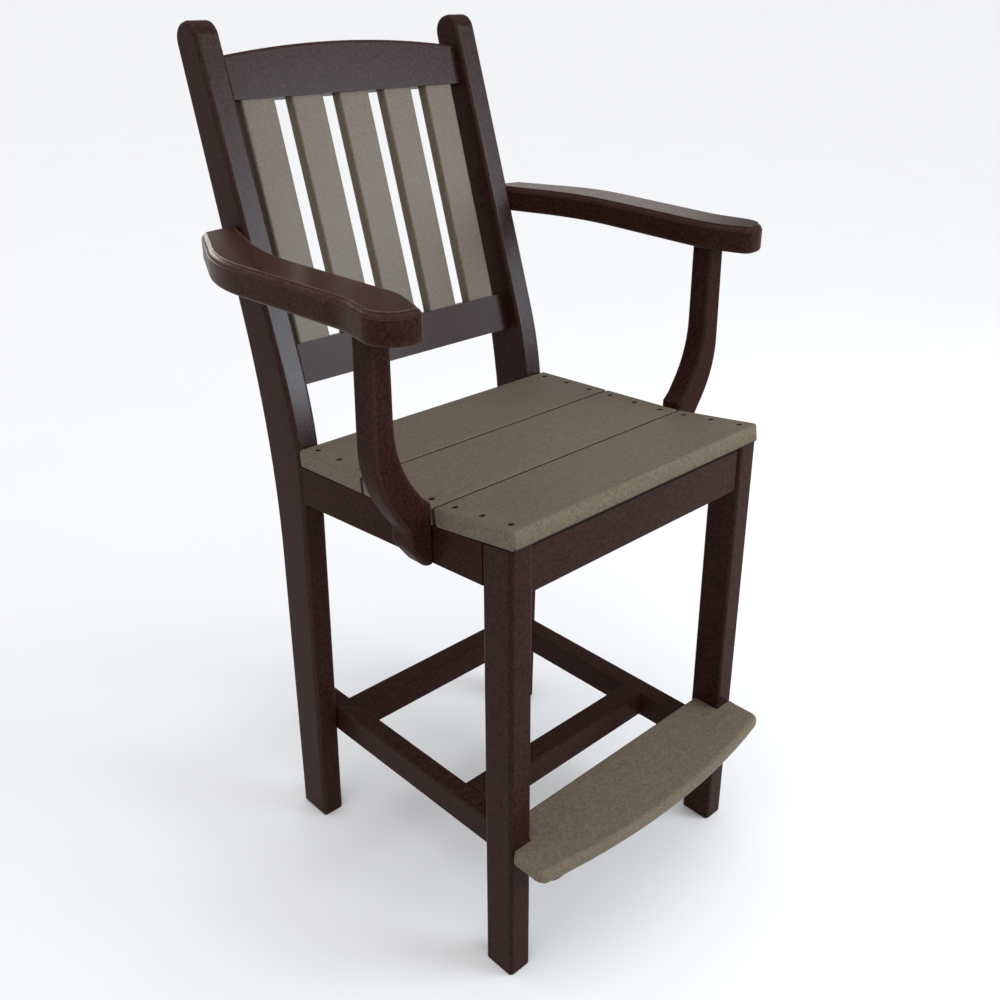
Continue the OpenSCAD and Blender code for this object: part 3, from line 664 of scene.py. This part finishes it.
leg_low, leg_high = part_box("left_front_leg")
rest_low, rest_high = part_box("footrest_board")
NOTCH_GAP = 0.4 * MM
NOTCH_FADE = 6 * MM
UNDER_DEPTH = 10 * MM
END_WIDTH = 12 * MM
END_PULL = 9 * MM


def within_one(value):
    return min(max(value, 0.0), 1.0)


def away_from_leg(p):
    """How far, 0 to 1, the footrest's rim is rounded: not at all round the legs."""
    aside = max(leg_low.x - abs(p.x), abs(p.x) - leg_high.x, 0.0)
    ahead = max(leg_low.y - p.y, p.y - leg_high.y, 0.0)
    return within_one((math.hypot(aside, ahead) - NOTCH_GAP) / NOTCH_FADE)


def end_curve(p, depth):
    """Rounds the footrest's lower edge further at the two ends."""
    share = within_one((abs(p.x) - rest_high.x) / END_WIDTH + 1)
    if p.z > rest_low.z + UNDER_DEPTH or share == 0.0:
        return Vector()
    left = 1 - depth / UNDER_DEPTH
    return X * (-math.copysign(END_PULL, p.x) * share * away_from_leg(p) * (1 - math.sqrt(1 - left * left)))


board("footrest", "footrest_board", Z, X, oval(6 * MM, UNDER_DEPTH), quarter(8 * MM), TAN,
      yields=away_from_leg, pull=end_curve)

SEAT_RIM = quarter(3.8 * MM, steps=5)
# GAP_EDGE is how deep the painted shade reaches on the edges in the seat's gaps, and how far below the top it
# stops
GAP_EDGE = 1.2 * MM
FRONT_CORNER = 8 * MM
CORNER_RUN = 6 * MM
CORNER_RINGS = [(0.0, FRONT_CORNER * share) for share in (1.0, 0.85, 0.7, 0.58)]
APRON_SHADE_RUN = 3.2 * MM

# Painted shade on the front board's front face, darker towards its lower edge, as (up to this height over its
# lower edge, shade)
APRON_SHADES = ((2.2 * MM, 1.0), (4 * MM, 0.35))
APRON_SHADE_REST = 0.1


def seat_board(part, fall):
    """A seat board, which falls to the back by an angle."""
    node = "seat_board_" + part
    board_up, board_back = leaning(fall)
    heights = [v.co.dot(board_up) for v in nodes[node].data.vertices]
    runs = [v.co.dot(board_back) for v in nodes[node].data.vertices]
    bottom, top = min(heights), max(heights)
    first, last = min(runs), max(runs)

    def painted_seat_shade(p):
        """How much painted shade a point gets, 0 to 1: on the edges that face another board, and on the front
        board's front face over the front apron, darker towards its lower edge.
        """
        height, run = p.dot(board_up), p.dot(board_back)
        if part == "front" and run < first + APRON_SHADE_RUN:
            return next((shade for limit, shade in APRON_SHADES if height < bottom + limit), APRON_SHADE_REST)
        ahead = part != "front" and run < first + GAP_EDGE
        behind = part != "rear" and run > last - GAP_EDGE
        return float((ahead or behind) and height < top - GAP_EDGE)

    def round_corner(p, depth):
        """Rounds the front board's two front corners, seen from above."""
        if depth >= FRONT_CORNER or p.dot(board_back) > first + CORNER_RUN:
            return Vector()
        return board_back * (FRONT_CORNER - math.sqrt(FRONT_CORNER ** 2 - (FRONT_CORNER - depth) ** 2))

    rim = (CORNER_RINGS if part == "front" else []) + SEAT_RIM
    board(node + "_rounded", node, X, X, rim, rim, TAN, holes=screw_holes("seat_screws", SINK, near(node)),
          painted_shade_at=painted_seat_shade, pull=round_corner if part == "front" else None)


for part, fall in SEAT_FALLS.items():
    seat_board(part, fall)

UNDER_ROUNDING = 0.35
SLATS = ["back_slat_%d" % number for number in range(1, 6)]


def back_rail(node):
    """A rail of the back, with little rounding along its lower edge."""
    lowest = min(v.co.dot(BACK_UP) for v in nodes[node].data.vertices)
    board(node + "_board", node, BACK_OUT, X, quarter(3.5 * MM), quarter(4.5 * MM), BROWN,
          flat=lambda a, b: all(abs(abs(p.x) - POST_INNER) < AT_END for p in (a, b)),
          yields=lambda p: UNDER_ROUNDING if p.dot(BACK_UP) < lowest + AT_END else 1.0,
          holes=screw_holes("rail_screws", POCKET, near(node, grow=30 * MM)))


def back_slat(node):
    rim = quarter(0.3 * MM, steps=1)
    board(node + "_board", node, BACK_UP, BACK_UP, rim, rim, TAN)


back_rail("lower_back_rail")
back_rail("crest_rail")
for slat in SLATS:
    back_slat(slat)

FINISHES = {"support_bolts": BRIGHT, "support_washers": BRIGHT, "arm_screws": COATED}
for node, obj in nodes.items():
    if not obj.hide_render:
        obj.data.materials.clear()
        obj.data.materials.append(FINISHES.get(node, STEEL))


# Studio

FLOOR_HALF = 90.0
FLOOR_DROP = 0.5 * MM
FLOOR_WHITE = (0.88,) * 3
FLOOR_SHADE = (0.88 * 0.99,) * 3


def floor():
    """The pale floor, just under the feet."""
    material, tree, shader, place = started("floor_white")
    colour = ramp(tree, noise(tree, place, scale=3.0), [(0.3, FLOOR_SHADE), (0.7, FLOOR_WHITE)])
    link(tree, colour, shader.inputs["Base Color"])
    shader.inputs["Roughness"].default_value = 0.85
    mesh = bpy.data.meshes.new("floor")
    corners = [(x * FLOOR_HALF, y * FLOOR_HALF, 0) for x, y in ((-1, -1), (1, -1), (1, 1), (-1, 1))]
    mesh.from_pydata(corners, [], [(0, 1, 2, 3)])
    mesh.materials.append(material)
    obj = bpy.data.objects.new("floor", mesh)
    obj.location.z = -FLOOR_DROP
    scene.collection.objects.link(obj)


def lamp(name, place, target, size, power, colour, gives="sheen", pieces=()):
    """A window that gives the matt light or the sheen of every surface, or only of the named pieces."""
    data = bpy.data.lights.new(name, "AREA")
    data.shape = "RECTANGLE"
    data.size, data.size_y = size
    data.energy = power
    data.color = colour
    obj = bpy.data.objects.new(name, data)
    obj.location = place
    obj.rotation_euler = (Vector(target) - Vector(place)).to_track_quat("-Z", "Y").to_euler()
    obj.visible_diffuse = gives == "matt"
    obj.visible_glossy = gives == "sheen"
    scene.collection.objects.link(obj)
    if pieces:
        lit = bpy.data.collections.new(name + "_pieces")
        for piece in pieces:
            lit.objects.link(bpy.data.objects[piece + "_board"])
        obj.light_linking.receiver_collection = lit


scene.view_settings.view_transform = "Standard"
floor()
world = bpy.data.worlds.new("studio")
world.use_nodes = True
background = world.node_tree.nodes["Background"]
background.inputs["Color"].default_value = (0.93, 0.95, 1.0, 1.0)
background.inputs["Strength"].default_value = 0.42
scene.world = world
sky = bpy.data.lights.new("soft_top", "SUN")
sky.energy = 2.15
sky.angle = math.radians(110)
sky_lamp = bpy.data.objects.new("soft_top", sky)
sky_lamp.rotation_euler = (math.radians(12), math.radians(-10), 0)
scene.collection.objects.link(sky_lamp)

# The front window stands where it mirrors in the leaning back, seen from the photograph's angle
CAMERA_PLACE = Vector((-0.99248, -1.080355, 1.27472))
WINDOW_AWAY = 3.0
WINDOW_SHIFT = Vector((0.18, 0.14, 0.15))
crest_low, lower_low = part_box("crest_rail")[0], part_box("lower_back_rail")[0]
on_crest = Vector((0, crest_low.y, crest_low.z))
back_middle = (on_crest + Vector((0, lower_low.y, lower_low.z))) / 2
mirrored = CAMERA_PLACE - BACK_OUT * (2 * (CAMERA_PLACE - on_crest).dot(BACK_OUT))
window_place = back_middle + (back_middle - mirrored).normalized() * WINDOW_AWAY - WINDOW_SHIFT

BACK = ["crest_rail", "right_rear_post", "left_rear_post"] + SLATS
ARMS = ["right_armrest", "left_armrest"]
NEAR_ARM = ["right_armrest"]
COOL, WARM, DAYLIGHT = (0.82, 0.91, 1.0), (1.0, 0.95, 0.91), (0.86, 0.93, 1.0)
FRONT_WINDOW = (1.35, 1.45)
lamp("window_front", window_place, back_middle, FRONT_WINDOW, 50, DAYLIGHT, "matt")
lamp("window_sheen", window_place, back_middle, FRONT_WINDOW, 360, COOL, pieces=BACK)
lamp("window_sill", window_place, back_middle, FRONT_WINDOW, 225, COOL, pieces=["lower_back_rail"])
lamp("window_low", (1.37, -2.5, 1.05), (-0.2, 0.1, 0.6), (0.7, 0.8), 110, COOL,
     pieces=BACK + ["front_apron"])
lamp("window_rear", (2.9, 3.1, 2.05), (0.1, 0, 0.94), (2.2, 0.9), 16, WARM, pieces=ARMS)
lamp("window_back", (0.5, 4.0, 1.95), (-0.3, 0.1, 0.94), (1.6, 0.9), 60, WARM, pieces=NEAR_ARM)
lamp("window_roof", (-1.1, 0.5, 3.0), (-0.35, 0.1, 0.94), (1.2, 1.2), 36, WARM, "matt", NEAR_ARM)

camera = bpy.data.cameras.new("camera")
camera.sensor_fit = "HORIZONTAL"
camera.sensor_width = 36.0
camera.lens = 40.01
camera.shift_x = -0.0631
camera.shift_y = -0.0383
camera.clip_start, camera.clip_end = 0.05, 100.0
eye = bpy.data.objects.new("camera", camera)
eye.location = CAMERA_PLACE
eye.rotation_mode = "XYZ"
eye.rotation_euler = (1.1468, -0.0195, -0.7981)
scene.collection.objects.link(eye)
scene.camera = eye
